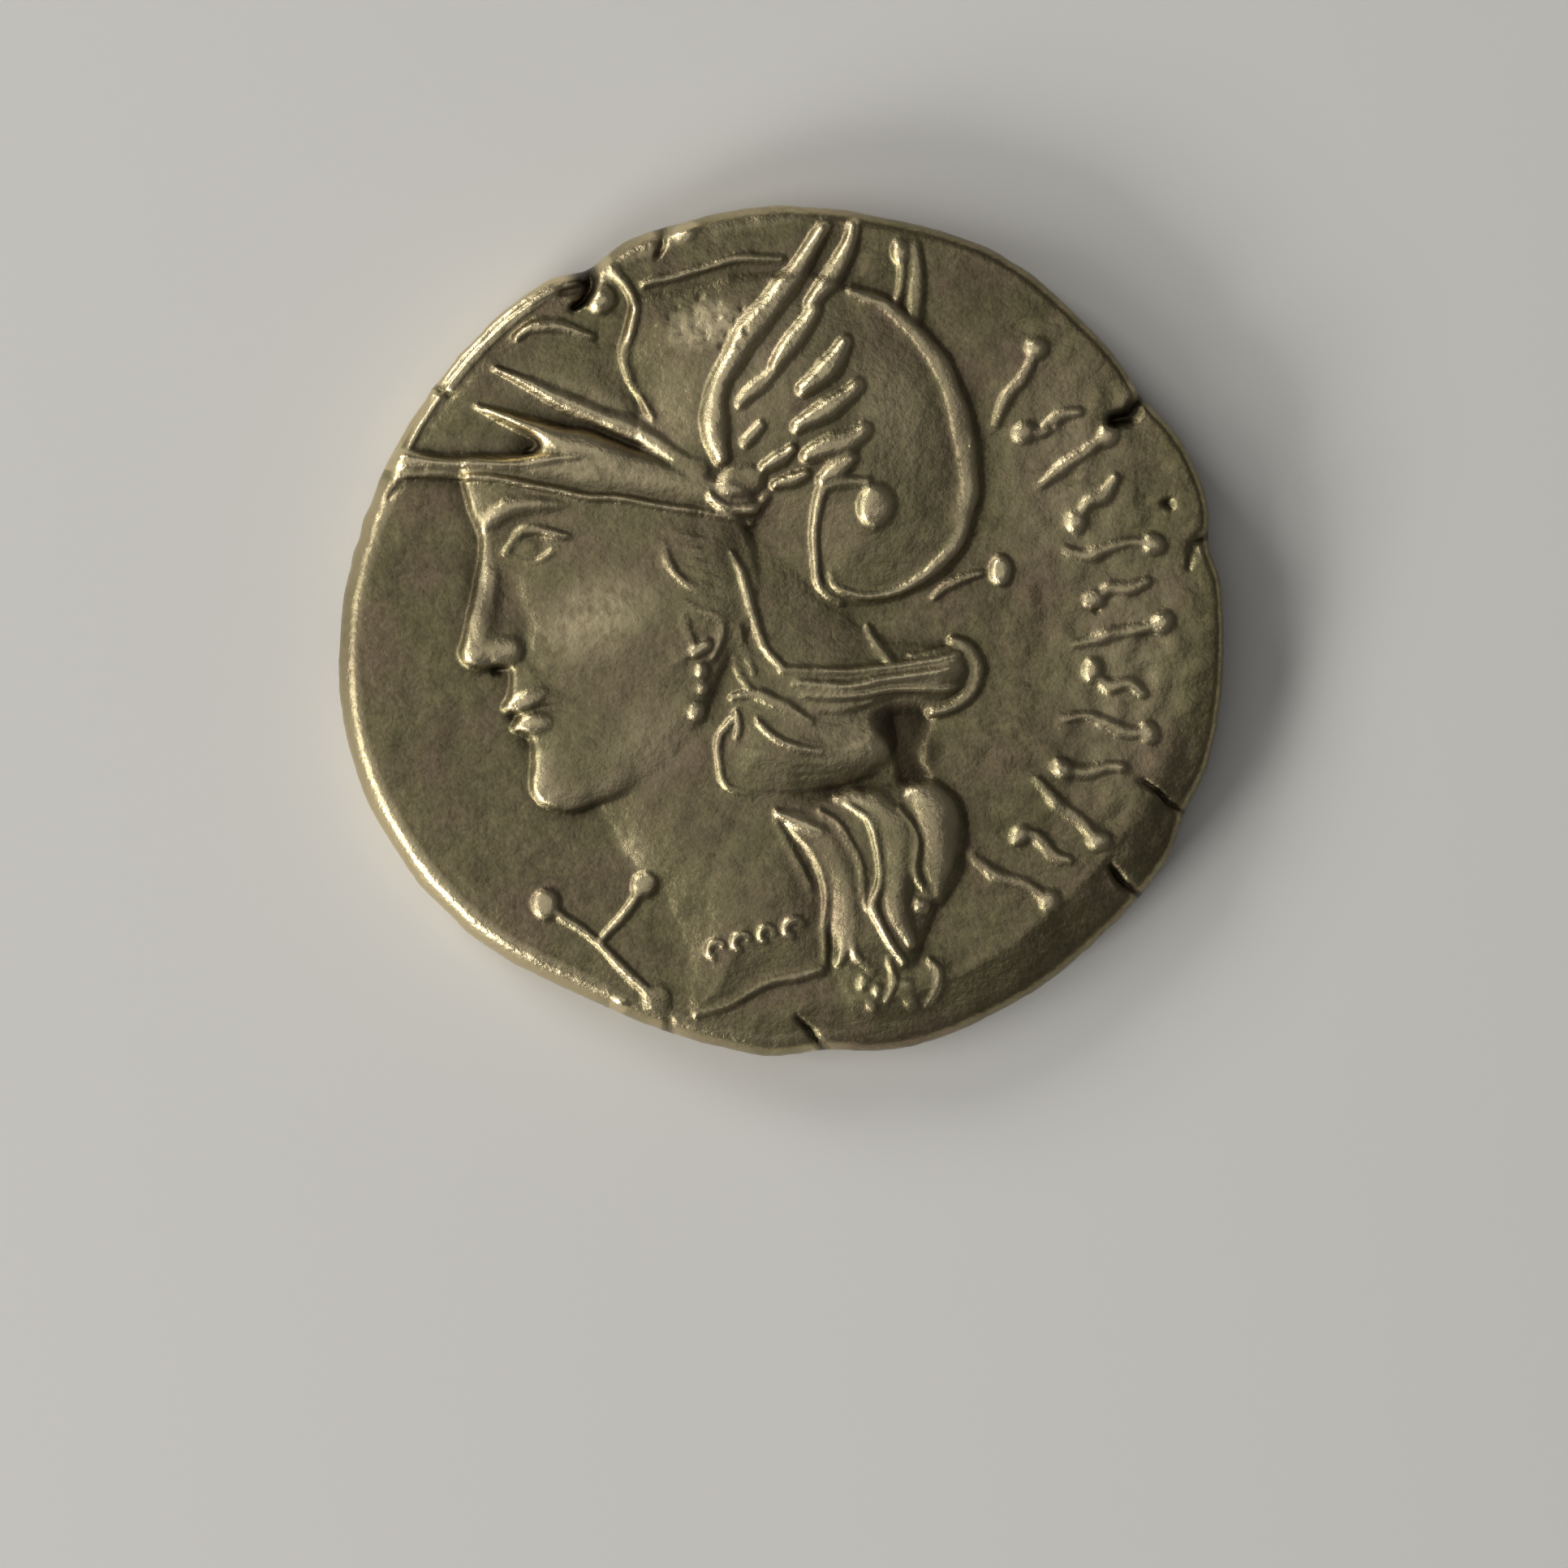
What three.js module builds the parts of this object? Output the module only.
// Struck silver coin with a helmeted head in profile, lying with the head up.
// Millimetres. +X is right and +Y up as the head is seen, +Z up out of the head side.
// Origin: centre of the coin's bounding box on the underside.
import * as THREE from 'three';

// Driving dimensions of the blank
const COIN_WIDTH = 18.8; // left to right
const CORE_THICKNESS = 1.3; // between the fields of the two sides
const EDGE_ROUNDING = 0.42; // how far the rounded edge stands out past the flat faces

// Heights of the broad forms over the field
const FACE_HEIGHT = 0.32;
const CHEEK_RISE = 0.09;
const NECK_HEIGHT = 0.23;
const BOWL_HEIGHT = 0.37;
const CREST_HEIGHT = 0.13;
const VISOR_HEIGHT = 0.35;
const HAIR_HEIGHT = 0.31;
const BAND_HEIGHT = 0.32;
const LOCK_MASS_HEIGHT = 0.27;

// Heights of the raised details over the form that they lie on
const LINE_HEIGHT = 0.13;
const FEATHER_HEIGHT = 0.16;
const STRAND_HEIGHT = 0.14;
const PELLET_HEIGHT = 0.18;
const BEAD_HEIGHT = 0.14;
const LETTERING_HEIGHT = 0.13;
const FEATURE_HEIGHT = 0.09;
const NICK_DEPTH = 0.22;

// Underside: struck higher than this and worn down to one plane
const UNDERSIDE_RELIEF = 0.22;

// How far apart the surface's vertices stand, in shares of the half width
const RIM_POINTS = 112; // round the edge
const OPEN_SPACING = 0.082; // on open stretches
const UNDERSIDE_SPACING = 0.115;
const OUTLINE_SPACING = 0.044; // along the outlines of broad forms
const PROFILE_SPACING = 0.025; // along the face's
const CLOSEST_SPACING = 0.0085; // anywhere
const BLEND = 0.05; // how softly two broad forms run together
const EDGE_RINGS = [0.16, 0.39, 0.61, 0.84]; // shares of the way over the edge

const SILVER = new THREE.MeshStandardMaterial({ color: 0x8f8668, roughness: 0.38, metalness: 1 });

// All plan positions below are shares of the blank's half width, from the die's centre.
// Distance from there to the edge, each 15 degrees anticlockwise from +X
const BLANK_RADII = [
  0.99, 1.0, 0.99, 0.97, 0.98, 0.96, 0.96, 0.95, 0.955, 0.96, 0.965, 0.98,
  1.0, 1.015, 1.005, 0.98, 0.94, 0.94, 0.96, 0.975, 0.985, 0.99, 1.005, 1.0,
];
// Dents in the edge: angle, half width in degrees, depth
const DENTS = [[118, 4, 0.018], [33, 5, 0.02], [11.5, 4, 0.022], [-24, 4, 0.015], [-84, 5, 0.02]];
// The head side slopes away towards the edge: how far in that starts, and how deep it gets
// in millimetres, at the same angles
const ROLL_WIDTHS = [
  0.06, 0.05, 0.05, 0.06, 0.05, 0.04, 0.04, 0.04, 0.035, 0.03, 0.04, 0.06,
  0.07, 0.06, 0.05, 0.05, 0.05, 0.05, 0.06, 0.09, 0.12, 0.14, 0.14, 0.1,
];
const ROLL_DEPTHS = [
  0.1, 0.08, 0.07, 0.07, 0.06, 0.05, 0.05, 0.05, 0.05, 0.05, 0.08, 0.13,
  0.12, 0.14, 0.18, 0.2, 0.17, 0.1, 0.1, 0.15, 0.22, 0.24, 0.22, 0.15,
];

const degrees = THREE.MathUtils.degToRad;
const { clamp, lerp } = THREE.MathUtils;

// Reads values that are spread evenly round the coin, smoothly, at an angle
function around(values, angle) {
  const count = values.length;
  const turn = (angle / (2 * Math.PI)) * count;
  const first = Math.floor(turn);
  const share = turn - first;
  const [before, start, end, after] = [-1, 0, 1, 2].map(
    (step) => values[(first + step + 2 * count) % count],
  );
  return start + 0.5 * share * (end - before
    + share * (2 * before - 5 * start + 4 * end - after
    + share * (3 * (start - end) + after - before)));
}

function blankRadius(angle) {
  const dents = DENTS.map(([at, spread, depth]) => {
    const apart = Math.atan2(Math.sin(angle - degrees(at)), Math.cos(angle - degrees(at)));
    return depth * Math.exp(-((apart / degrees(spread)) ** 2));
  });
  return around(BLANK_RADII, angle) - Math.max(...dents);
}

// The outline's bounding box, in shares, sets the scale and the origin
function outlineBox() {
  const box = new THREE.Box2();
  for (let step = 0; step < 720; step += 1) {
    const angle = degrees(step / 2);
    const radius = blankRadius(angle);
    box.expandByPoint(new THREE.Vector2(radius * Math.cos(angle), radius * Math.sin(angle)));
  }
  return box;
}

const OUTLINE = outlineBox();
const UNIT = COIN_WIDTH / (OUTLINE.max.x - OUTLINE.min.x);
const CENTRE = OUTLINE.getCenter(new THREE.Vector2());
const ROUNDING = EDGE_ROUNDING / UNIT;

// How far the head side has sloped away at a place, in millimetres
function roll(x, y) {
  const angle = Math.atan2(y, x);
  const inside = blankRadius(angle) - ROUNDING - Math.hypot(x, y);
  return around(ROLL_DEPTHS, angle) * clamp(1 - inside / around(ROLL_WIDTHS, angle), 0, 1) ** 1.8;
}

// A smooth line through a few points
function through(points, steps = 6) {
  const line = new THREE.SplineCurve(points.map(([x, y]) => new THREE.Vector2(x, y)));
  return line.getPoints(steps * (points.length - 1)).map(({ x, y }) => [x, y]);
}

// A bowed line: bend is the bow's height as a share of its chord, to the left of the way
function bow([startX, startY], [endX, endY], bend, steps = 6) {
  return Array.from({ length: steps + 1 }, (_, index) => {
    const share = index / steps;
    const lift = 4 * bend * share * (1 - share);
    return [
      lerp(startX, endX, share) - lift * (endY - startY),
      lerp(startY, endY, share) + lift * (endX - startX),
    ];
  });
}

// A double bow: first to the left and then to the right of the way
function sway([startX, startY], [endX, endY], bend, steps = 10) {
  return Array.from({ length: steps + 1 }, (_, index) => {
    const share = index / steps;
    const lift = bend * Math.sin(2 * Math.PI * share);
    return [
      lerp(startX, endX, share) - lift * (endY - startY),
      lerp(startY, endY, share) + lift * (endX - startX),
    ];
  });
}

function nearest(x, y, [startX, startY], [endX, endY]) {
  const [alongX, alongY] = [endX - startX, endY - startY];
  const length = alongX * alongX + alongY * alongY;
  const share = clamp(((x - startX) * alongX + (y - startY) * alongY) / length, 0, 1);
  return { share, distance: Math.hypot(x - startX - share * alongX, y - startY - share * alongY) };
}

// Points at even steps along a path, each with the way's direction and its share of the length
function stations(path, step) {
  const curve = new THREE.CurvePath();
  path.slice(1).forEach(([x, y], index) => {
    curve.add(new THREE.LineCurve(new THREE.Vector2(...path[index]), new THREE.Vector2(x, y)));
  });
  const count = Math.max(1, Math.round(curve.getLength() / step));
  return Array.from({ length: count + 1 }, (_, index) => {
    const { x, y } = curve.getPointAt(index / count);
    const way = curve.getTangentAt(index / count);
    return { x, y, way, share: index / count };
  });
}

function aside({ x, y, way }, offset) {
  return [x - offset * way.y, y + offset * way.x];
}

function within(path, x, y) {
  let inside = false;
  for (let index = 1; index < path.length; index += 1) {
    const [start, end] = [path[index - 1], path[index]];
    const crosses = (start[1] > y) !== (end[1] > y);
    if (crosses && x < start[0] + ((end[0] - start[0]) * (y - start[1])) / (end[1] - start[1])) {
      inside = !inside;
    }
  }
  return inside;
}

// Each shape gives its height at a place, and the places where the surface needs a vertex for it.

// A raised line with a rounded section; widths are half widths spread evenly along it
function ridge(path, widths, height) {
  const widthAt = (share) => {
    const place = share * (widths.length - 1);
    const first = Math.min(Math.floor(place), widths.length - 2);
    return lerp(widths[first], widths[first + 1], place - first);
  };
  const reach = Math.max(...widths);
  const [xs, ys] = [path.map(([x]) => x), path.map(([, y]) => y)];
  const [left, right] = [Math.min(...xs) - reach, Math.max(...xs) + reach];
  const [low, high] = [Math.min(...ys) - reach, Math.max(...ys) + reach];
  const at = (x, y) => {
    if (x < left || x > right || y < low || y > high) return 0;
    let best = 0;
    for (let index = 1; index < path.length; index += 1) {
      const { share, distance } = nearest(x, y, path[index - 1], path[index]);
      const width = widthAt((index - 1 + share) / (path.length - 1));
      if (distance < width) best = Math.max(best, 1 - (distance / width) ** 2);
    }
    return height * best;
  };
  const along = stations(path, 2.2 * reach);
  const beside = (offset) => along.map((station) => aside(station, offset * widthAt(station.share)));
  const ends = [[along[0], -1], [along.at(-1), 1]].map(([{ x, y, way, share }, sign]) => {
    const width = sign * widthAt(share);
    return [x + width * way.x, y + width * way.y];
  });
  const shoulders = reach > 0.024 ? [...beside(0.55), ...beside(-0.55)] : [];
  return { at, first: [...beside(0), ...ends], then: [...beside(1), ...beside(-1), ...shoulders] };
}

const line = (path, widths, height = LINE_HEIGHT) => ridge(through(path), widths, height);

// A rounded boss or pellet
function dome([centreX, centreY], [alongX, alongY], height, turn = 0, power = 0.5) {
  const [cos, sin] = [Math.cos(degrees(turn)), Math.sin(degrees(turn))];
  const at = (x, y) => {
    const [offX, offY] = [x - centreX, y - centreY];
    const reach = ((offX * cos + offY * sin) / alongX) ** 2 + ((offY * cos - offX * sin) / alongY) ** 2;
    return reach < 1 ? height * (1 - reach) ** power : 0;
  };
  const ring = (share, count) => Array.from({ length: count }, (_, index) => {
    const angle = (2 * Math.PI * (index + share)) / count;
    const [offX, offY] = [share * alongX * Math.cos(angle), share * alongY * Math.sin(angle)];
    return [centreX + offX * cos - offY * sin, centreY + offX * sin + offY * cos];
  });
  return { at, first: [[centreX, centreY], ...ring(1, 8)], then: ring(0.62, 6) };
}

const pellet = (centre, radius, height = PELLET_HEIGHT) => dome(centre, [radius, radius], height);

// A broad form: it rises from its outline over the shoulder's width and then runs level
function mass(corners, shoulder, height, spacing = OUTLINE_SPACING) {
  const path = through([...corners, corners[0]], 4);
  const at = (x, y) => {
    if (!within(path, x, y)) return 0;
    const distance = path.slice(1).reduce(
      (least, corner, index) => Math.min(least, nearest(x, y, path[index], corner).distance),
      shoulder,
    );
    return height * Math.sqrt(1 - (1 - distance / shoulder) ** 2);
  };
  const round = stations(path, spacing);
  const left = within(path, ...aside(round[0], 0.001)) ? 1 : -1;
  const lines = [0, 0.14, 0.45, 1].map((share) => round
    .map((station) => aside(station, left * share * shoulder))
    .filter(([x, y]) => share === 0 || at(x, y) > 0.95 * height * Math.sqrt(1 - (1 - share) ** 2)));
  return { at, first: [], then: lines.flat() };
}

function blended(first, second) {
  const softness = BLEND * clamp(Math.min(first, second), 0, BLEND);
  return 0.5 * (first + second + Math.sqrt((first - second) ** 2 + softness));
}

// The face has a frame of its own: down it and forward from the brow, in thirds of a face
const BROW = [-0.7, 0.27];
const FACE_TILT = degrees(14);
const FACE_THIRD = 0.35;

function onFace(down, forward) {
  return [
    BROW[0] + FACE_THIRD * (down * Math.sin(FACE_TILT) - forward * Math.cos(FACE_TILT)),
    BROW[1] - FACE_THIRD * (down * Math.cos(FACE_TILT) + forward * Math.sin(FACE_TILT)),
  ];
}

function faceForms() {
  const forehead = [onFace(-0.35, -0.06), onFace(-0.05, 0.02), onFace(0.18, 0)];
  const nose = [onFace(0.5, 0.13), onFace(0.8, 0.28), onFace(0.93, 0.3), onFace(1, 0.2), onFace(1.04, 0.04)];
  const mouth = [onFace(1.18, 0.05), onFace(1.27, 0.12), onFace(1.345, 0.05), onFace(1.43, 0.1)];
  const chin = [onFace(1.53, 0), onFace(1.66, 0.02), onFace(1.8, 0.07), onFace(1.95, 0), onFace(2.04, -0.18)];
  const jaw = [onFace(2.0, -0.5), onFace(1.85, -0.85), onFace(1.62, -1.15), onFace(1.3, -1.4)];
  const back = [[-0.12, -0.1], [-0.05, 0.12], [-0.15, 0.3], [-0.5, 0.36]];
  const profile = [...forehead, ...nose, ...mouth, ...chin];
  return [mass([...profile, ...jaw, ...back], 0.12, FACE_HEIGHT, PROFILE_SPACING)];
}

function neckForms() {
  const throat = [onFace(1.9, -0.3), [-0.36, -0.5], [-0.27, -0.6], [-0.22, -0.72], [-0.2, -0.86]];
  const cut = [[-0.04, -0.8], [0.09, -0.755]];
  const nape = [[0.13, -0.6], [0.1, -0.4], [0.12, -0.2], [0, 0], [-0.2, -0.1], [-0.4, -0.25]];
  return [mass([...throat, ...cut, ...nape], 0.1, NECK_HEIGHT)];
}

function faceDetails() {
  const lid = 0.012;
  const brow = [onFace(0.1, -0.08), onFace(0.05, -0.3), onFace(0.14, -0.62)];
  const upperLid = [onFace(0.31, -0.14), onFace(0.2, -0.3), onFace(0.3, -0.56)];
  const lowerLid = [onFace(0.33, -0.15), onFace(0.42, -0.3), onFace(0.36, -0.48)];
  return [
    line(brow, [0.02, 0.03, 0.012], 0.8 * FEATURE_HEIGHT),
    line(upperLid, [lid, 0.016, 0.008], FEATURE_HEIGHT),
    line(lowerLid, [lid, lid, 0.006], FEATURE_HEIGHT),
    dome(onFace(0.315, -0.27), [0.034, 0.03], FEATURE_HEIGHT),
    dome(onFace(0.92, 0.02), [0.046, 0.04], FEATURE_HEIGHT),
    dome(onFace(0.91, 0.2), [0.045, 0.04], FEATURE_HEIGHT / 2),
    dome(onFace(1.27, -0.03), [0.052, 0.024], FEATURE_HEIGHT, 28),
    dome(onFace(1.42, -0.04), [0.046, 0.027], FEATURE_HEIGHT, 10),
  ];
}

function faceHollows() {
  return [
    dome(onFace(0.3, -0.2), [0.1, 0.075], FEATURE_HEIGHT, 0, 1),
    dome(onFace(1.03, -0.12), [0.03, 0.03], 0.5 * FEATURE_HEIGHT, 0, 1),
    ridge(bow(onFace(1.345, 0.08), onFace(1.355, -0.27), 0.05), [0.01, 0.008], 0.6 * FEATURE_HEIGHT),
    dome(onFace(1.555, -0.04), [0.06, 0.025], 0.35 * FEATURE_HEIGHT, 10, 1),
  ];
}

function helmetForms() {
  const crown = [[-0.345, 0.755], [-0.2, 0.805], [-0.05, 0.832], [0.1, 0.8], [0.22, 0.735], [0.32, 0.645]];
  const nape = [[0.39, 0.53], [0.42, 0.4], [0.42, 0.28], [0.37, 0.175], [0.29, 0.105], [0.19, 0.08]];
  const front = [[0.09, 0.09], [-0.02, 0.18], [-0.12, 0.26], [-0.25, 0.32], [-0.33, 0.42]];
  const crestBack = [[-0.44, 0.665], [-0.36, 0.62], [-0.32, 0.5], [-0.3, 0.42]];
  const visorTop = [[-0.885, 0.4], [-0.8, 0.39], [-0.62, 0.385], [-0.5, 0.4], [-0.3, 0.39], [-0.17, 0.36]];
  const visorRim = [[-0.12, 0.237], [-0.22, 0.262], [-0.4, 0.303], [-0.62, 0.332], [-0.885, 0.35]];
  return [
    mass([...crown, ...nape, ...front, [-0.325, 0.52], [-0.355, 0.63]], 0.26, BOWL_HEIGHT),
    mass([[-0.61, 0.66], [-0.55, 0.695], ...crestBack, [-0.45, 0.49], [-0.62, 0.58]], 0.12, CREST_HEIGHT),
    mass([...visorTop, [-0.08, 0.33], [-0.05, 0.26], ...visorRim], 0.045, VISOR_HEIGHT),
  ];
}

function helmetDetails() {
  const bars = [
    line(
      [[-0.645, 0.588], [-0.5, 0.52], [-0.35, 0.455], [-0.185, 0.36]],
      [0.01, 0.024, 0.024, 0.02],
      FEATHER_HEIGHT,
    ),
    line(
      [[-0.685, 0.503], [-0.58, 0.468], [-0.3, 0.388], [-0.19, 0.355]],
      [0.01, 0.026, 0.024, 0.015],
      FEATHER_HEIGHT,
    ),
  ];
  const rims = [
    line([[-0.88, 0.346], [-0.62, 0.332], [-0.3, 0.285], [-0.05, 0.24]], [0.012, 0.012], LINE_HEIGHT / 2),
    line(
      [[-0.42, 0.84], [-0.335, 0.74], [-0.357, 0.63], [-0.315, 0.51], [-0.295, 0.475]],
      [0.013, 0.018, 0.018, 0.01],
    ),
    line([[-0.6, 0.66], [-0.57, 0.683], [-0.5, 0.683], [-0.43, 0.663]], [0.014, 0.018, 0.012]),
    line([[-0.315, 0.775], [-0.15, 0.818], [0, 0.832]], [0.013, 0.013]),
    line(
      [[0.155, 0.77], [0.33, 0.63], [0.41, 0.42], [0.395, 0.215], [0.27, 0.095], [0.12, 0.098]],
      [0.022, 0.024, 0.024, 0.021, 0.015, 0.01],
    ),
    line(
      [[0.125, 0.063], [0.073, 0.12], [0.067, 0.22], [0.09, 0.32], [0.185, 0.335]],
      [0.013, 0.016, 0.017, 0.014],
    ),
  ];
  const plume = [
    line([[0.268, 0.85], [0.264, 0.77], [0.252, 0.73]], [0.016, 0.013]),
    line([[0.298, 0.87], [0.297, 0.79], [0.297, 0.705]], [0.013, 0.018, 0.016]),
  ];
  return [...bars, ...rims, ...plume, pellet([-0.41, 0.745], 0.034), pellet([0.207, 0.282], 0.049)];
}

function wingDetails() {
  const shortFeathers = Array.from({ length: 4 }, (_, index) => {
    const root = [0.085 - 0.05 * Math.sin(degrees(70 * index)), 0.34 + 0.068 * index];
    const slope = degrees(27 + 7 * index);
    const length = 0.08 + 0.055 * Math.sin(degrees(60 * index));
    const tip = [root[0] + length * Math.cos(slope), root[1] + length * Math.sin(slope)];
    return ridge(bow(root, tip, -0.05), [0.016, 0.03, 0.015], FEATHER_HEIGHT);
  });
  const downFeathers = [0, 1].map((index) => {
    const root = [-0.04 + 0.02 * index, 0.365 - 0.03 * index];
    return ridge([root, [root[0] + 0.06, root[1] + 0.045 - 0.03 * index]], [0.02, 0.015], FEATHER_HEIGHT);
  });
  return [
    line(
      [[-0.14, 0.385], [-0.157, 0.5], [-0.085, 0.655], [-0.01, 0.76], [0.088, 0.905]],
      [0.022, 0.029, 0.03, 0.027, 0.014],
      FEATHER_HEIGHT,
    ),
    ridge(bow([-0.015, 0.595], [0.07, 0.72], 0), [0.018, 0.025, 0.016], FEATHER_HEIGHT),
    line([[0.06, 0.735], [0.105, 0.79], [0.155, 0.915]], [0.02, 0.024, 0.014], FEATHER_HEIGHT),
    ridge(bow([-0.098, 0.505], [-0.022, 0.58], 0.1), [0.012, 0.018, 0.013], FEATHER_HEIGHT / 2),
    ridge([[-0.085, 0.425], [-0.055, 0.462]], [0.017, 0.015], FEATHER_HEIGHT / 2),
    dome([-0.1, 0.33], [0.075, 0.045], FEATHER_HEIGHT, 15),
    ...shortFeathers,
    ...downFeathers,
  ];
}

function hairForms() {
  const temple = [[-0.27, 0.24], [-0.1, 0.24], [0.06, 0.2], [0.12, 0.06], [0.25, -0.02]];
  const knot = [[0.4, -0.03], [0.435, -0.1], [0.34, -0.18], [0.24, -0.2], [0.24, -0.31]];
  const nape = [[0.12, -0.345], [-0.02, -0.37], [-0.11, -0.36], [-0.145, -0.29]];
  const front = [[-0.14, -0.16], [-0.2, -0.04], [-0.25, 0.08]];
  // The band that runs back to the knot, and the roll under it
  const bandTop = [[-0.03, -0.075], [0.1, -0.075], [0.2, -0.068], [0.3, -0.048], [0.4, -0.03]];
  const bandUnder = [[0.42, -0.1], [0.36, -0.15], [0.25, -0.155], [0.12, -0.185], [0, -0.165]];
  const rollTop = [[-0.1, -0.13], [-0.03, -0.16], [0.05, -0.185], [0.14, -0.195], [0.23, -0.18]];
  const rollUnder = [[0.25, -0.24], [0.23, -0.3], [0.12, -0.35], [-0.02, -0.37], [-0.11, -0.36]];
  return [
    mass([...temple, ...knot, ...nape, ...front], 0.12, HAIR_HEIGHT),
    mass([...bandTop, ...bandUnder], 0.06, BAND_HEIGHT),
    mass([...rollTop, ...rollUnder, [-0.15, -0.28]], 0.09, BAND_HEIGHT),
  ];
}

function lockForms() {
  const tops = [[-0.02, -0.4], [0.17, -0.35], [0.34, -0.34], [0.4, -0.4], [0.405, -0.49]];
  const tips = [[0.35, -0.6], [0.31, -0.7], [0.28, -0.76], [0.2, -0.76], [0.13, -0.75], [0.095, -0.66]];
  const ends = [[0.12, -0.72], [0.35, -0.72], [0.37, -0.8], [0.3, -0.86], [0.16, -0.86]];
  return [
    mass([...tops, ...tips, [0.06, -0.53]], 0.08, LOCK_MASS_HEIGHT),
    mass(ends, 0.08, LOCK_MASS_HEIGHT / 2),
  ];
}

function hairDetails() {
  // Strands that frame the face
  const strands = [
    line([[-0.268, 0.195], [-0.24, 0.135], [-0.165, 0.078]], [0.012, 0.014, 0.01]),
    line([[-0.225, 0.07], [-0.145, 0.015], [-0.155, -0.08]], [0.01, 0.014, 0.01]),
    line([[-0.112, 0.172], [-0.068, 0.03], [-0.005, -0.078]], [0.015, 0.019, 0.012]),
    line([[-0.105, -0.04], [-0.085, -0.09], [-0.055, -0.15]], [0.012, 0.014, 0.013]),
  ];
  // The rolls over the nape, from the top one down
  const rolls = [0, 1, 2].map((index) => {
    const start = [-0.01 + 0.02 * index, -0.095 - 0.04 * index];
    const end = [0.37 - 0.05 * index, -0.06 - 0.05 * index];
    return ridge(bow(start, end, -0.06 * (index + 0.5)), [0.013, 0.02, 0.013], STRAND_HEIGHT / 2);
  });
  const knot = [
    line(
      [[0.375, -0.018], [0.436, -0.075], [0.4, -0.155], [0.325, -0.182]],
      [0.014, 0.021, 0.02, 0.014],
      STRAND_HEIGHT,
    ),
    line([[-0.085, -0.145], [0.03, -0.205], [0.19, -0.222]], [0.02, 0.039, 0.016], STRAND_HEIGHT),
    line([[-0.09, -0.195], [-0.02, -0.235], [0.085, -0.272]], [0.01, 0.014, 0.01]),
    line([[-0.14, -0.225], [-0.147, -0.29], [-0.135, -0.335], [-0.06, -0.365]], [0.012, 0.014, 0.01]),
  ];
  const loose = [
    line([[0.188, 0.012], [0.205, -0.025], [0.238, -0.068]], [0.014, 0.018, 0.013]),
    line([[0.338, 0.078], [0.365, 0.105], [0.445, 0.125]], [0.013, 0.015, 0.013]),
    dome([0.487, 0.135], [0.029, 0.038], PELLET_HEIGHT),
  ];
  return [...strands, ...rolls, ...knot, ...loose];
}

function lockDetails() {
  // Three rounded locks side by side
  const locks = [0, 1, 2].map((index) => {
    const root = [0.07 + 0.13 * index, -0.44 + 0.03 * index];
    const tip = [0.13 + 0.085 * index, -0.74 + 0.07 * index];
    return ridge(sway(root, tip, 0.11), [0.034, 0.048, 0.046, 0.024], LINE_HEIGHT * (0.6 + 0.2 * index));
  });
  // and the fine strands that part them
  const strands = [
    line([[-0.018, -0.435], [0.015, -0.5], [0.062, -0.58]], [0.01, 0.012, 0.01]),
    line([[0, -0.462], [0.085, -0.548], [0.1, -0.61], [0.1, -0.748]], [0.01, 0.015, 0.01], STRAND_HEIGHT),
    line([[0.065, -0.385], [0.155, -0.465], [0.182, -0.58], [0.18, -0.635]], [0.012, 0.014, 0.012, 0.01]),
    line(
      [[0.15, -0.425], [0.212, -0.52], [0.213, -0.62], [0.205, -0.665], [0.27, -0.742]],
      [0.012, 0.014, 0.013, 0.017, 0.01],
      STRAND_HEIGHT,
    ),
    line([[0.295, -0.39], [0.287, -0.46], [0.31, -0.6]], [0.011, 0.013, 0.01], STRAND_HEIGHT),
    line([[0.325, -0.735], [0.347, -0.765], [0.318, -0.84]], [0.014, 0.016, 0.011]),
  ];
  return [...locks, ...strands, pellet([0.31, -0.62], 0.022)];
}

function jewelleryDetails() {
  const drops = [0, 1, 2].map((index) => {
    const centre = [-0.182 - 0.004 * index, -0.06 - 0.058 * index];
    return pellet(centre, 0.022 + 0.003 * (index - 1) ** 2, BEAD_HEIGHT);
  });
  const beads = [0, 1, 2, 3].map((index) => {
    const centre = [-0.152 + 0.06 * index, -0.715 + 0.017 * index];
    return pellet(centre, 0.03 - 0.002 * index, BEAD_HEIGHT);
  });
  const neckEdge = line([[-0.2, -0.862], [-0.04, -0.792], [0.085, -0.757]], [0.011, 0.013, 0.011]);
  return [...drops, ...beads, neckEdge];
}

// A mark of three ball-ended arms below the chin
function markDetails() {
  const ends = [[-0.535, -0.612], [-0.313, -0.567], [-0.285, -0.82]];
  const meeting = [-0.415, -0.7];
  return ends.flatMap((end, index) => [
    pellet(end, 0.036, index < 2 ? PELLET_HEIGHT : PELLET_HEIGHT / 2),
    ridge([end, meeting], [0.016, 0.012], LETTERING_HEIGHT),
  ]);
}

// A row of ball-ended strokes along the right edge, in the place of an inscription
function inscriptionDetails() {
  return Array.from({ length: 13 }, (_, index) => {
    const turn = degrees(46 - 7.8 * index);
    const lean = degrees([2.2, -1.6, 0.8][index % 3]);
    const [inner, outer] = index % 2 ? [0.7, 0.82] : [0.655, 0.85];
    const start = [inner * Math.cos(turn - lean), inner * Math.sin(turn - lean)];
    const end = [outer * Math.cos(turn + lean), outer * Math.sin(turn + lean)];
    return [
      ridge(bow(start, end, index % 2 ? 0.12 : -0.08), [0.015, 0.015], LETTERING_HEIGHT),
      pellet(index % 2 ? start : end, 0.028),
    ];
  }).flat();
}

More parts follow.
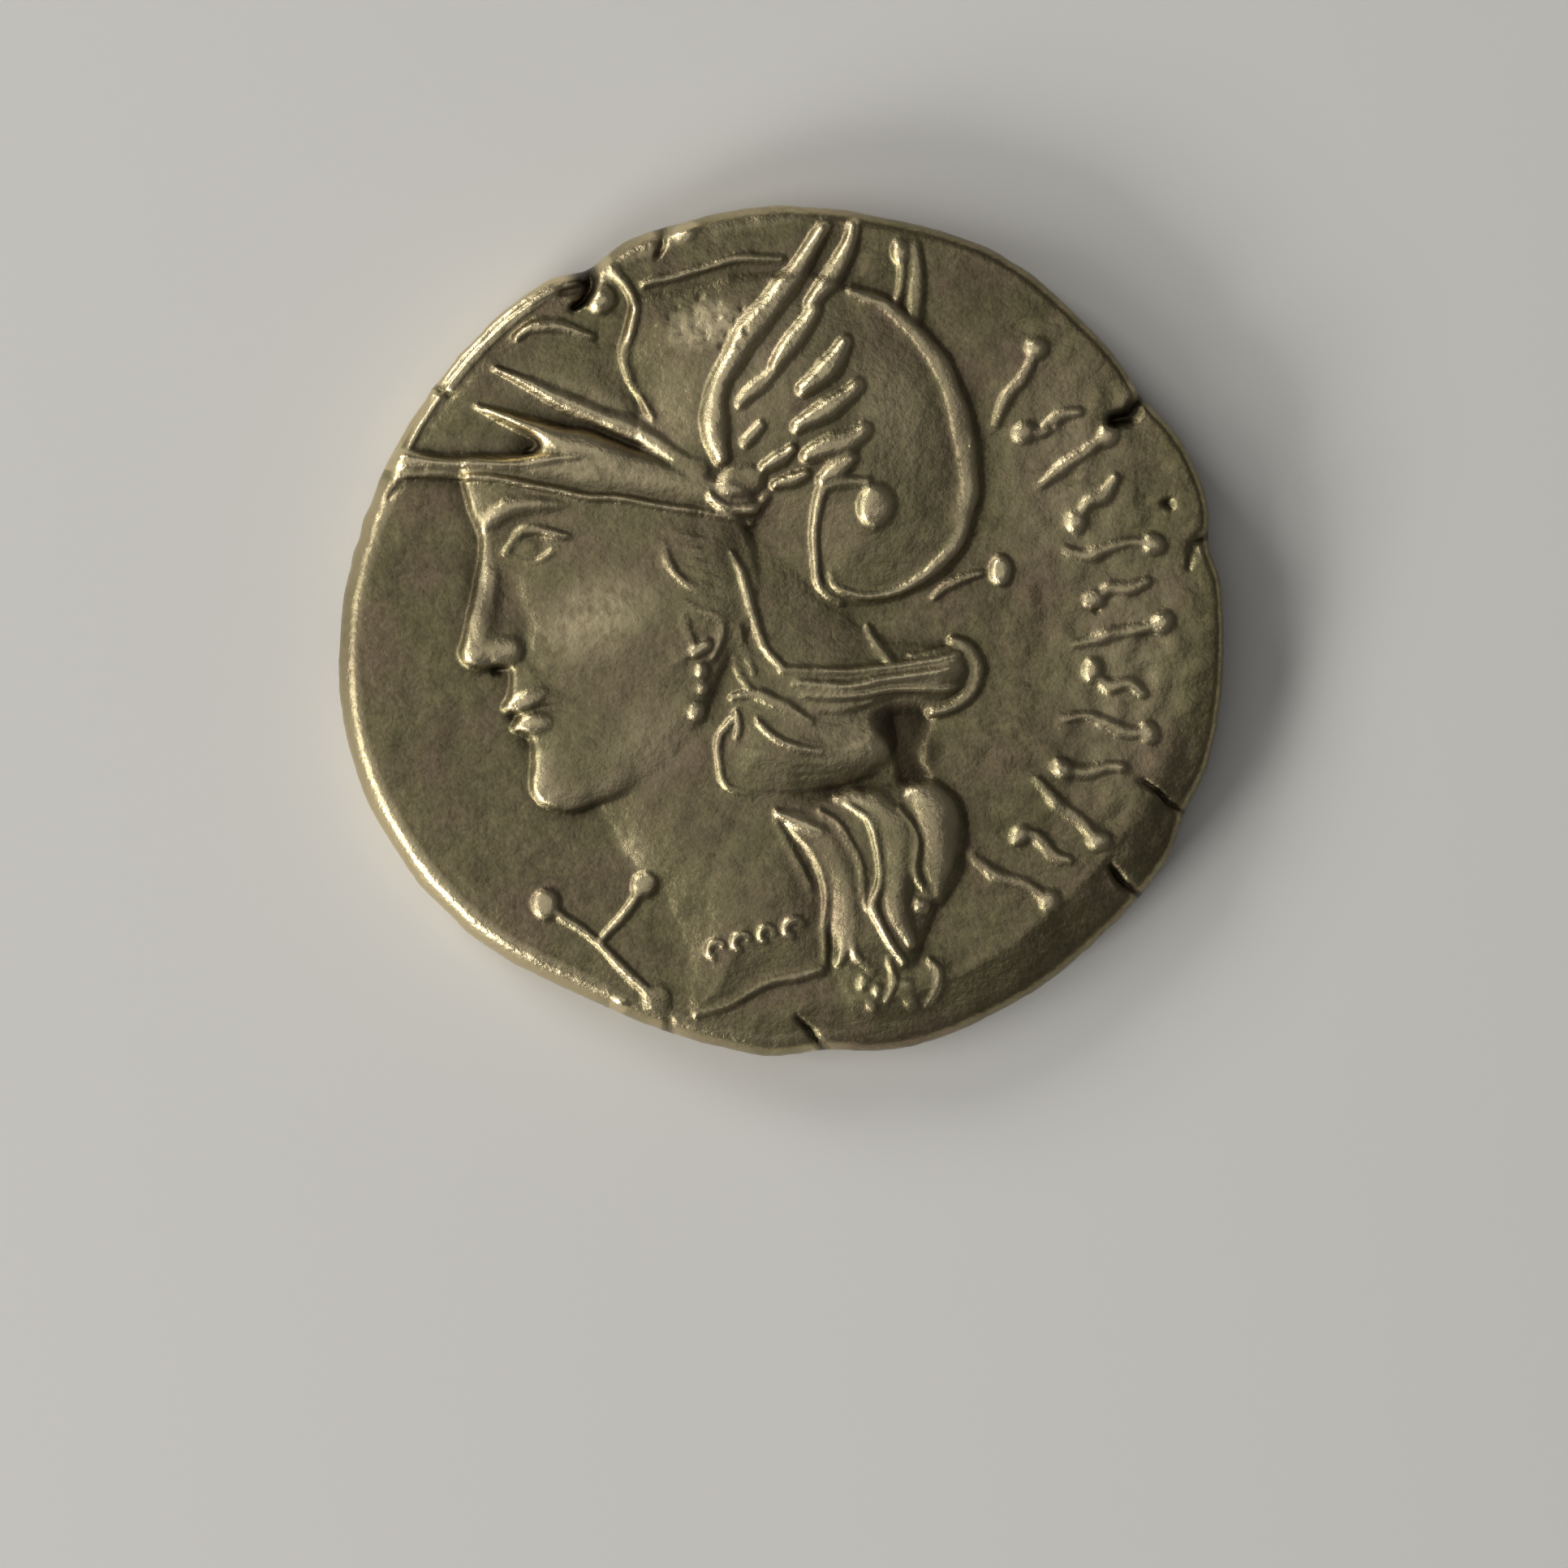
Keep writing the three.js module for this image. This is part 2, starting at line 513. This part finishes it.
function edgeDetails() {
  const border = Array.from({ length: 11 }, (_, index) => {
    const turn = degrees(120 + 4 * index);
    return [0.922 * Math.cos(turn), 0.922 * Math.sin(turn)];
  });
  return [ridge(border, [0.01, 0.015, 0.01], LINE_HEIGHT / 2)];
}

function nicks() {
  return [
    ridge([[-0.44, 0.86], [-0.47, 0.77]], [0.02, 0.012], NICK_DEPTH),
    ridge([[-0.28, 0.88], [-0.275, 0.84]], [0.02, 0.01], NICK_DEPTH),
    dome([0.77, 0.485], [0.05, 0.03], NICK_DEPTH, 20),
    dome([0.86, 0.29], [0.02, 0.02], NICK_DEPTH / 2),
    ridge([[0.81, -0.34], [0.9, -0.41]], [0.01, 0.018], NICK_DEPTH),
    ridge([[0.74, -0.53], [0.8, -0.6]], [0.012, 0.018], NICK_DEPTH),
    ridge([[0.04, -0.875], [0.1, -0.94]], [0.01, 0.02], NICK_DEPTH),
  ];
}

// The underside: a running horse over a ground line, in a ring of dots
function undersideForms() {
  const raised = UNDERSIDE_RELIEF * 1.6;
  const neck = [[-0.34, -0.06], [-0.38, 0.1], [-0.45, 0.24], [-0.43, 0.36], [-0.34, 0.34], [-0.22, 0.2]];
  const back = [[0, 0.12], [0.28, 0.16], [0.38, 0.05]];
  const belly = [[0.26, -0.1], [0, -0.09], [-0.24, -0.13]];
  return [
    mass([...neck, ...back, ...belly], 0.09, raised),
  ];
}

function undersideDetails() {
  const leg = UNDERSIDE_RELIEF * 1.15;
  const horse = [
    line([[-0.41, 0.33], [-0.5, 0.29], [-0.6, 0.2]], [0.06, 0.05, 0.032], leg),
    line([[-0.26, -0.04], [-0.47, -0.1], [-0.44, -0.28]], [0.05, 0.034, 0.026], leg),
    line([[-0.22, -0.06], [-0.34, -0.22], [-0.5, -0.3]], [0.05, 0.034, 0.026], leg),
    line([[0.26, -0.03], [0.3, -0.2], [0.24, -0.34]], [0.07, 0.036, 0.026], leg),
    line([[0.3, 0.02], [0.46, -0.14], [0.5, -0.32]], [0.07, 0.036, 0.026], leg),
    line([[0.34, 0.1], [0.48, 0.17], [0.6, 0.05]], [0.03, 0.034, 0.014], leg),
  ];
  const ground = ridge([[-0.64, -0.43], [0.64, -0.43]], [0.016, 0.016], leg);
  const strokes = Array.from({ length: 7 }, (_, index) => {
    const along = -0.36 + 0.12 * index;
    return ridge([[along, -0.53], [along + 0.025 * (index % 2), -0.67]], [0.017, 0.017], leg / 2);
  });
  const dots = Array.from({ length: 30 }, (_, index) => {
    const turn = degrees(12 * index);
    return pellet([0.84 * Math.cos(turn), 0.84 * Math.sin(turn)], 0.034, UNDERSIDE_RELIEF * 1.5);
  });
  return [...horse, ground, ...strokes, ...dots];
}

// Where the slope towards the edge starts, and its middle
function rollPlaces() {
  return [1, 0.45].flatMap((share) => Array.from({ length: 72 }, (_, index) => {
    const angle = degrees(5 * index);
    const radius = blankRadius(angle) - ROUNDING - share * around(ROLL_WIDTHS, angle);
    return [radius * Math.cos(angle), radius * Math.sin(angle)];
  }));
}

function surface(forms, rises, details, cuts) {
  const highest = (shapes, x, y) => shapes.reduce((level, shape) => Math.max(level, shape.at(x, y)), 0);
  const at = (x, y) => {
    const base = forms.reduce((level, form) => blended(level, form.at(x, y)), 0);
    const lifted = base > 0 ? rises.reduce((level, rise) => level + rise.at(x, y), base) : base;
    return lifted + highest(details, x, y) - highest(cuts, x, y);
  };
  const shapes = [...details, ...cuts, ...forms];
  return { at, places: [...shapes.flatMap(({ first }) => first), ...shapes.flatMap(({ then }) => then)] };
}

const headRelief = surface(
  [...faceForms(), ...neckForms(), ...helmetForms(), ...hairForms(), ...lockForms()],
  [dome([-0.45, -0.1], [0.27, 0.34], CHEEK_RISE, 14, 1)],
  [
    ...faceDetails(), ...helmetDetails(), ...wingDetails(), ...hairDetails(), ...lockDetails(),
    ...jewelleryDetails(), ...markDetails(), ...inscriptionDetails(), ...edgeDetails(),
  ],
  [...faceHollows(), ...nicks()],
);
const headSide = {
  at: (x, y) => headRelief.at(x, y) - roll(x, y),
  places: [...headRelief.places, ...rollPlaces()],
};
const struck = surface(undersideForms(), [], undersideDetails(), []);
const underside = {
  at: (x, y) => Math.min(UNDERSIDE_RELIEF, struck.at(-x, y)),
  places: struck.places.map(([x, y]) => [-x, y]),
};

// Points round the coin where its flat face meets the rounded edge
const rim = Array.from({ length: RIM_POINTS }, (_, index) => {
  const turn = (2 * Math.PI * index) / RIM_POINTS;
  const radius = blankRadius(turn) - ROUNDING;
  return [radius * Math.cos(turn), radius * Math.sin(turn)];
});

// Where the surface of a face has its vertices: at the rim, then where its shapes need them,
// then evenly over what is left, in a spiral like a sunflower's seeds
function vertexPlaces(shapePlaces, openSpacing) {
  const places = [...rim];
  const buckets = new Map();
  const bucket = (x, y) => `${Math.floor(x / openSpacing)},${Math.floor(y / openSpacing)}`;
  const keep = (x, y) => {
    const name = bucket(x, y);
    buckets.set(name, [...(buckets.get(name) ?? []), [x, y]]);
  };
  const free = (x, y, spacing) => [-1, 0, 1].every((column) => [-1, 0, 1].every((row) => {
    const near = buckets.get(bucket(x + column * openSpacing, y + row * openSpacing)) ?? [];
    return near.every(([nearX, nearY]) => Math.hypot(x - nearX, y - nearY) >= spacing);
  }));
  rim.forEach(([x, y]) => keep(x, y));
  const add = (spacing) => ([x, y]) => {
    const margin = blankRadius(Math.atan2(y, x)) - ROUNDING - Math.hypot(x, y);
    if (margin < 2 * CLOSEST_SPACING || !free(x, y, spacing)) return;
    places.push([x, y]);
    keep(x, y);
  };
  shapePlaces.forEach(add(CLOSEST_SPACING));
  const seeds = Math.round(4 / openSpacing ** 2);
  const goldenAngle = Math.PI * (3 - Math.sqrt(5));
  Array.from({ length: seeds }, (_, index) => {
    const radius = Math.sqrt((index + 0.5) / seeds);
    return [radius * Math.cos(index * goldenAngle), radius * Math.sin(index * goldenAngle)];
  }).forEach(add(0.75 * openSpacing));
  return places;
}

// Triangles that join points in the plane so that none has another point in its circle.
// The points are put in one by one, and the triangles whose circles they fall in are made anew.
function triangulated(points) {
  const far = 60;
  const corners = [...points, [-far, -far], [far, -far], [0, far]];
  const circled = (...indices) => {
    const [[aX, aY], [bX, bY], [cX, cY]] = indices.map((index) => corners[index]);
    const [bOff, cOff] = [[bX - aX, bY - aY], [cX - aX, cY - aY]];
    const twice = 2 * (bOff[0] * cOff[1] - bOff[1] * cOff[0]);
    const [bSquare, cSquare] = [bOff[0] ** 2 + bOff[1] ** 2, cOff[0] ** 2 + cOff[1] ** 2];
    const x = (cOff[1] * bSquare - bOff[1] * cSquare) / twice;
    const y = (bOff[0] * cSquare - cOff[0] * bSquare) / twice;
    return { indices, x: aX + x, y: aY + y, reach: x * x + y * y };
  };
  let triangles = [circled(points.length, points.length + 1, points.length + 2)];
  points.forEach(([x, y], index) => {
    const edges = new Map();
    const kept = [];
    triangles.forEach((triangle) => {
      if ((x - triangle.x) ** 2 + (y - triangle.y) ** 2 >= triangle.reach) {
        kept.push(triangle);
        return;
      }
      const [one, two, three] = triangle.indices;
      [[one, two], [two, three], [three, one]].forEach(([start, end]) => {
        if (!edges.delete(`${end} ${start}`)) edges.set(`${start} ${end}`, [start, end]);
      });
    });
    edges.forEach(([start, end]) => kept.push(circled(start, end, index)));
    triangles = kept;
  });
  return triangles.map(({ indices }) => indices).filter((indices) => Math.max(...indices) < points.length);
}

function faceMesh({ at, places }, openSpacing) {
  const points = vertexPlaces(places, openSpacing);
  const closedRim = [...rim, rim[0]];
  const triangles = triangulated(points).filter((indices) => {
    const [x, y] = [0, 1].map((axis) => indices.reduce((sum, index) => sum + points[index][axis], 0) / 3);
    return within(closedRim, x, y);
  });
  return { vertices: points.map(([x, y]) => [x, y, at(x, y)]), triangles };
}

function coinGeometry() {
  const topLevel = UNDERSIDE_RELIEF + CORE_THICKNESS;
  const place = ([x, y, z]) => [(x - CENTRE.x) * UNIT, (y - CENTRE.y) * UNIT, z];
  const top = faceMesh(headSide, OPEN_SPACING);
  const bottom = faceMesh(underside, UNDERSIDE_SPACING);
  const vertices = top.vertices.map(([x, y, z]) => place([x, y, topLevel + z]));
  const triangles = [...top.triangles];

  const firstBottom = vertices.length;
  vertices.push(...bottom.vertices.map(([x, y, z]) => place([x, y, UNDERSIDE_RELIEF - z])));
  bottom.triangles.forEach(([one, two, three]) => {
    triangles.push([firstBottom + one, firstBottom + three, firstBottom + two]);
  });

  // The rounded edge, ring by ring from the head side down
  let upper = 0;
  const band = (lower) => {
    for (let index = 0; index < RIM_POINTS; index += 1) {
      const next = (index + 1) % RIM_POINTS;
      triangles.push([upper + index, lower + index, upper + next]);
      triangles.push([upper + next, lower + index, lower + next]);
    }
    upper = lower;
  };
  EDGE_RINGS.forEach((share) => {
    const lower = vertices.length;
    rim.forEach(([x, y]) => {
      const outwards = 1 + (ROUNDING * Math.sin(Math.PI * share) ** 0.7) / Math.hypot(x, y);
      const [high, low] = [topLevel + headSide.at(x, y), UNDERSIDE_RELIEF - underside.at(x, y)];
      const down = (1 - Math.cos(Math.PI * share)) / 2;
      vertices.push(place([x * outwards, y * outwards, lerp(high, low, down)]));
    });
    band(lower);
  });
  band(firstBottom);

  const geometry = new THREE.BufferGeometry();
  geometry.setAttribute('position', new THREE.Float32BufferAttribute(vertices.flat(), 3));
  geometry.setIndex(triangles.flat());
  geometry.computeVertexNormals();
  return geometry;
}

const coin = new THREE.Mesh(coinGeometry(), SILVER);
coin.name = 'denarius';

const object = new THREE.Group();
object.add(coin);

export default object;
